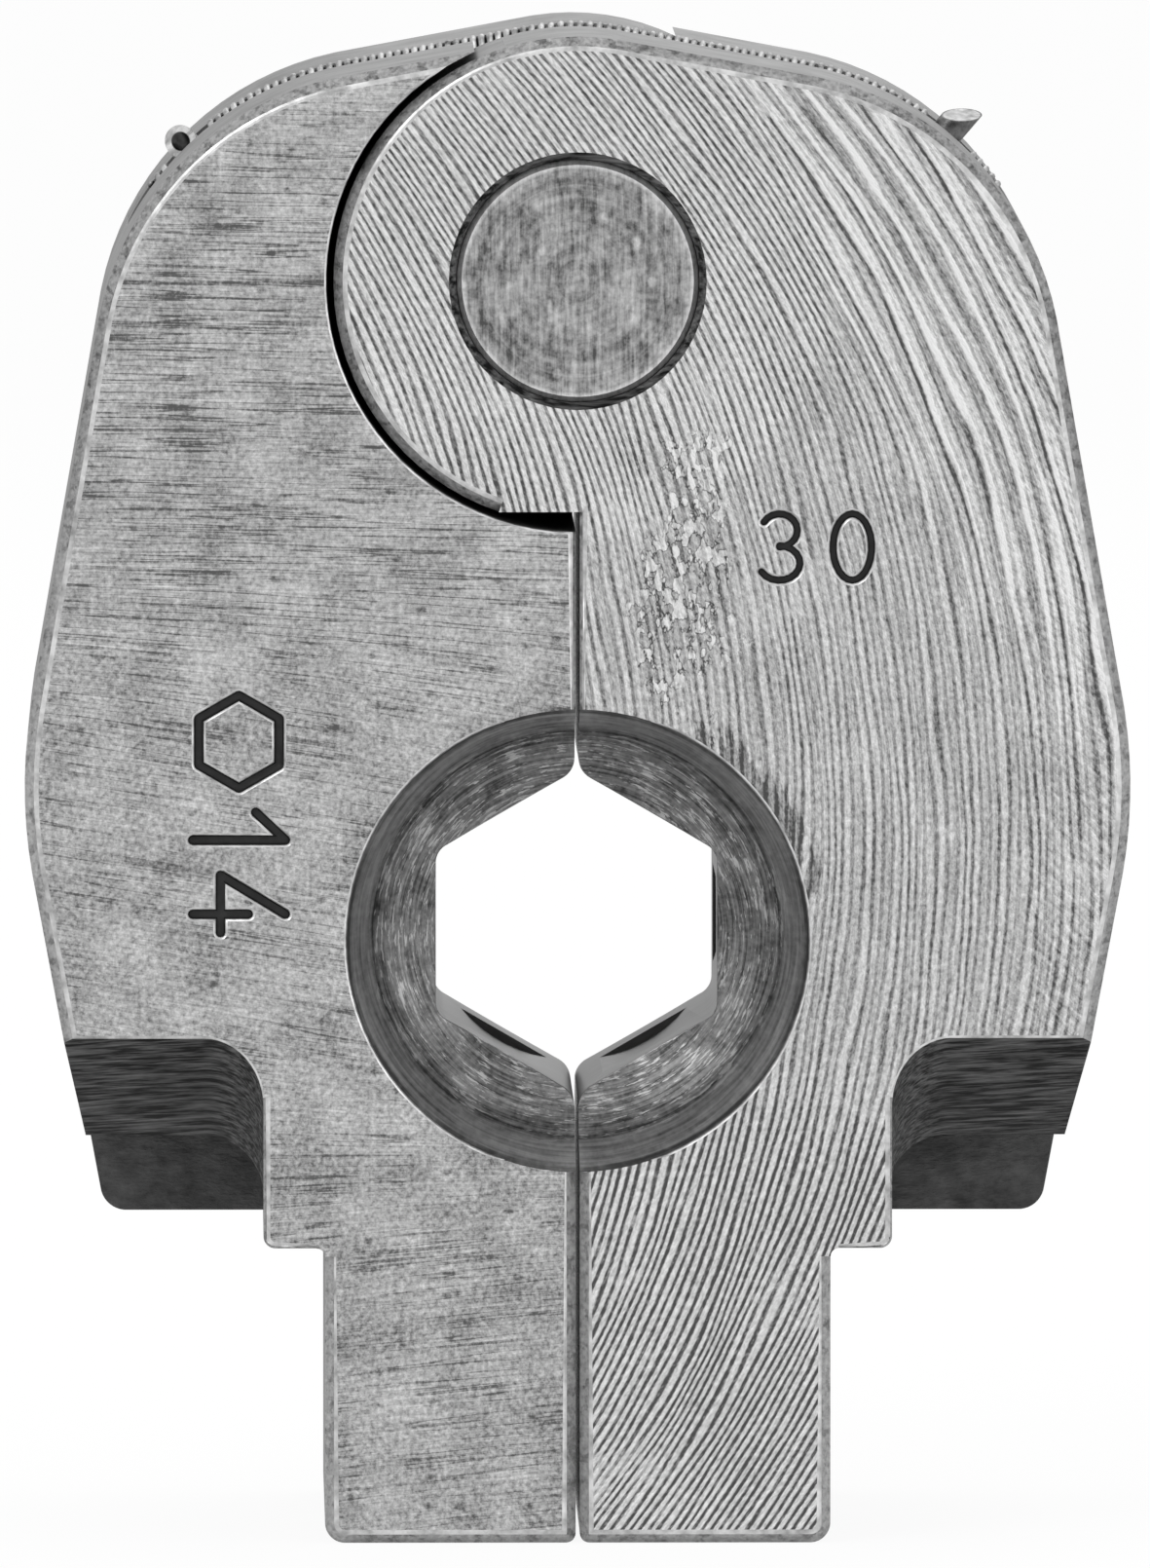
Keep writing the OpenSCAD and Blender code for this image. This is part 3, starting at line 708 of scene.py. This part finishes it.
def spring_path(s):
    """Centreline points and outward angles at the signed distances s from the top centre.

    The path is an arc about the pin, a straight slope and an arc about the corner's centre.
    """
    knuckle, slope, _ = spring_run()
    d = np.abs(s)
    past = np.clip(d - knuckle - slope, 0, None)
    angle = np.where(d < knuckle, math.pi / 2 - d / (KNUCKLE_R - PATH_INSET), TOP_A)
    angle = angle - past / (CORNER_R - PATH_INSET)
    straight = np.clip(d - knuckle, 0, slope)
    near = np.minimum(d, knuckle) / (KNUCKLE_R - PATH_INSET)
    knuckle_a = math.pi / 2 - near
    px = (KNUCKLE_R - PATH_INSET) * np.cos(knuckle_a) + straight * math.sin(TOP_A)
    pz = PIN_Z + (KNUCKLE_R - PATH_INSET) * np.sin(knuckle_a) - straight * math.cos(TOP_A)
    on_corner = past > 0
    px = np.where(on_corner, CORNER[0] + (CORNER_R - PATH_INSET) * np.cos(angle), px)
    pz = np.where(on_corner, CORNER[1] + (CORNER_R - PATH_INSET) * np.sin(angle), pz)
    mirror = np.where(s < 0, -1.0, 1.0)
    return px * mirror, pz, np.where(s < 0, math.pi - angle, angle)


def coil_knots():
    """Turns counted and distance reached at each end of the coil's plain and wide stretches."""
    knuckle, slope, corner = spring_run()
    wire_end = knuckle + slope + corner - WIRE_R
    gap = ANCHOR_D + 2 * WIRE_R + 2 * ANCHOR_CLEAR
    left_near = -knuckle - slope - (CORNER_R - PATH_INSET) * (TOP_A - LEFT_ANCHOR_A) - gap / 2
    right_near = knuckle + slope + (CORNER_R - PATH_INSET) * (TOP_A - RIGHT_ANCHOR_A) - gap / 2
    pitch = (2 * wire_end - 2 * gap) / (TURNS - 2 * PASS_TURN)
    left = math.floor((left_near + wire_end) / pitch)
    middle = math.floor((right_near - left_near - gap) / pitch + PASS_TURN) - PASS_TURN
    right = math.floor((wire_end - right_near - gap) / pitch * COIL_STEPS) / COIL_STEPS
    turns = np.cumsum((0, left, PASS_TURN, middle, PASS_TURN, right))
    runs = (-wire_end, left_near, left_near + gap, right_near, right_near + gap, wire_end)
    return turns, np.array(runs)


def opening_spring(material):
    """Round wire wound on the path: centre + coil radius (out cos t + Y sin t), t a turn per pitch.

    The distance along the path grows evenly with the turns in the plain stretches, and by a
    smooth step of t^3 (10 - 15 t + 6 t^2) over the half turn that passes behind each anchor pin.
    The attribute crest is 1 where the wire faces outwards and 0 where it faces the coil's middle.
    """
    knot_turns, knot_runs = coil_knots()
    steps, sides = 24, 10
    turn = np.linspace(0, knot_turns[-1], round(knot_turns[-1] * steps) + 1)
    stretch = np.clip(np.searchsorted(knot_turns, turn, side="right") - 1, 0, 4)
    share = (turn - knot_turns[stretch]) / np.diff(knot_turns)[stretch]
    eased = share**3 * (10 - 15 * share + 6 * share**2)
    share = np.where(stretch % 2 == 0, share, eased)
    s = knot_runs[stretch] + np.diff(knot_runs)[stretch] * share
    px, pz, a = spring_path(s)
    zero = np.zeros_like(px)
    centre = np.column_stack((px, zero, pz))
    out = np.column_stack((np.cos(a), zero, np.sin(a)))
    level = np.array((0.0, 1.0, 0.0))
    t = (2 * math.pi * turn)[:, None]
    spoke = out * np.cos(t) + level * np.sin(t)
    wire = centre + COIL_R * spoke
    tangent = np.gradient(wire, axis=0)
    tangent /= np.linalg.norm(tangent, axis=1)[:, None]
    across = np.cross(tangent, spoke)
    b = (2 * math.pi * np.arange(sides) / sides)[None, :, None]
    rings = wire[:, None] + WIRE_R * (spoke[:, None] * np.cos(b) + across[:, None] * np.sin(b))
    verts = rings.reshape(-1, 3) * MM
    count = len(turn)
    i = np.arange(count - 1)[:, None] * sides
    k = np.arange(sides)[None, :]
    after = (k + 1) % sides
    quads = np.stack((i + k, i + after, i + sides + after, i + sides + k), -1).reshape(-1, 4)
    caps = [list(range(sides))[::-1], [(count - 1) * sides + n for n in range(sides)]]
    mesh = bpy.data.meshes.new("opening_spring_wire")
    mesh.from_pydata(verts.tolist(), [], quads.tolist() + caps)
    mesh.polygons.foreach_set("use_smooth", [True] * len(mesh.polygons))
    crest = np.broadcast_to(0.5 + 0.5 * np.cos(b[0, :, 0]), (count, sides))
    mesh.attributes.new("crest", "FLOAT", "POINT").data.foreach_set("value", crest.ravel())
    mesh.materials.append(material)
    piece = bpy.data.objects.new("opening_spring_wire", mesh)
    bpy.context.scene.collection.objects.link(piece)
    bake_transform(piece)
    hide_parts("opening_spring")
    return piece


def place_camera():
    """The photograph's viewpoint: a long lens, a little above the jaw's middle."""
    camera = bpy.data.objects.new("camera", bpy.data.cameras.new("camera"))
    bpy.context.scene.collection.objects.link(camera)
    down, aside = math.radians(LOOK_DOWN), math.radians(LOOK_ASIDE)
    back = Vector((
        math.sin(aside) * math.cos(down), -math.cos(aside) * math.cos(down), math.sin(down)
    ))
    camera.location = Vector(AIM) * MM + back * DISTANCE * MM
    camera.rotation_euler = (-back).to_track_quat("-Z", "Y").to_euler()
    camera.data.lens, camera.data.sensor_width = LENS, SENSOR
    camera.data.clip_start, camera.data.clip_end = 0.05, 50.0
    camera.data.dof.use_dof = False
    bpy.context.scene.camera = camera


def seen_rays(tree):
    """1 for camera, glossy and transmission rays, which see the plain white surroundings."""
    path = tree.nodes.new("ShaderNodeLightPath")
    total = None
    for name in ("Is Camera Ray", "Is Glossy Ray", "Is Transmission Ray"):
        if total is None:
            total = path.outputs[name]
            continue
        add = tree.nodes.new("ShaderNodeMath")
        add.operation, add.use_clamp = "ADD", True
        tree.links.new(total, add.inputs[0])
        tree.links.new(path.outputs[name], add.inputs[1])
        total = add.outputs[0]
    return total


def light_studio():
    """White surroundings for the eye and for gloss, soft lamps, and a pale floor with a shadow."""
    scene = bpy.context.scene
    scene.view_settings.view_transform = "Standard"
    world = bpy.data.worlds.new("studio")
    scene.world = world
    world.use_nodes = True
    tree = world.node_tree
    tree.nodes.clear()
    soft = tree.nodes.new("ShaderNodeBackground")
    soft.inputs["Color"].default_value = (1.0, 1.0, 1.0, 1.0)
    soft.inputs["Strength"].default_value = 0.8
    white = tree.nodes.new("ShaderNodeBackground")
    white.inputs["Color"].default_value = (1.0, 1.0, 1.0, 1.0)
    white.inputs["Strength"].default_value = 1.0
    choose = tree.nodes.new("ShaderNodeMixShader")
    output = tree.nodes.new("ShaderNodeOutputWorld")
    tree.links.new(seen_rays(tree), choose.inputs[0])
    tree.links.new(soft.outputs[0], choose.inputs[1])
    tree.links.new(white.outputs[0], choose.inputs[2])
    tree.links.new(choose.outputs[0], output.inputs["Surface"])

    lamps = (
        ("key", (-0.45, -0.55, 0.6), 0.45, 1.8),
        ("fill", (0.6, -0.6, 0.25), 0.5, 0.8),
        ("top", (0.05, 0.1, 0.75), 0.5, 0.8),
        ("back", (0.1, 0.7, 0.5), 0.5, 0.8),
    )
    target = Vector((0.0, 0.0, 0.038))
    for name, place, size, power in lamps:
        data = bpy.data.lights.new(name, "AREA")
        data.shape, data.size, data.energy = "DISK", size, power
        lamp = bpy.data.objects.new(name, data)
        scene.collection.objects.link(lamp)
        lamp.location = place
        lamp.rotation_euler = (target - Vector(place)).to_track_quat("-Z", "Y").to_euler()

    bpy.ops.mesh.primitive_plane_add(size=16.0)
    floor = bpy.context.object
    floor.name = "floor"
    material = bpy.data.materials.new("pale_floor")
    material.use_nodes = True
    tree = material.node_tree
    shader = tree.nodes["Principled BSDF"]
    shader.inputs["Base Color"].default_value = (0.92, 0.92, 0.92, 1.0)
    shader.inputs["Roughness"].default_value = 0.9
    glow = tree.nodes.new("ShaderNodeEmission")
    glow.inputs["Strength"].default_value = 1.0
    choose = tree.nodes.new("ShaderNodeMixShader")
    share = tree.nodes.new("ShaderNodeMath")
    share.operation = "MULTIPLY"
    share.inputs[1].default_value = 0.92
    tree.links.new(seen_rays(tree), share.inputs[0])
    tree.links.new(share.outputs[0], choose.inputs[0])
    tree.links.new(shader.outputs[0], choose.inputs[1])
    tree.links.new(glow.outputs[0], choose.inputs[2])
    tree.links.new(choose.outputs[0], tree.nodes["Material Output"].inputs["Surface"])
    floor.data.materials.append(material)


place_camera()
light_studio()

shared = (
    bevel_steel(), side_steel(), dish_steel(), die_steel(), notch_steel(), inner_steel(), mark_steel(),
    ceiling_steel(), parting_steel(), worn_highlit_edge_steel(),
)
size_mark = stamp_cutter(
    ("hexagon", "1", "4"), (-19.1, 42.2), (0.0, -1.0), (1.0, 0.0), 4.6, 1.2, 0.48, 0.28
)
pair_mark = stamp_cutter(
    ("3", "0"), (9.2, 47.9), (1.0, 0.0), (0.0, 1.0), 3.3, 1.6, 0.34, 0.3
)
# Lower and upper corners, in X and Z, of the places where the marks are stamped
size_place = ((-19.6, 29.0), (-14.0, 43.0))
pair_place = ((8.5, 47.0), (16.5, 52.0))
finished_jaw(
    "left_jaw", -1, "left_half", size_mark, size_place, left_face_steel(), shared
)
finished_jaw(
    "right_jaw", 1, "right_half", pair_mark, pair_place, right_face_steel(), shared
)
opening_spring(wire_steel())


def refinish(node, material):
    """Gives a CAD node that keeps its own mesh a finish."""
    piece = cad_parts[node]
    piece.data.materials.clear()
    piece.data.materials.append(material)


refinish("hinge_pin", pin_steel())
refinish(
    "left_anchor_pin",
    anchor_steel("rolled_pin_steel", -1, LEFT_ANCHOR_A, ANCHOR_D / 2 - 0.33, (0.01, 0.06), (0.16, 0.75)),
)
refinish(
    "right_anchor_pin",
    anchor_steel("cut_pin_steel", 1, RIGHT_ANCHOR_A, ANCHOR_D / 2 - 0.06, (0.2, 0.7), (0.04, 0.25)),
)
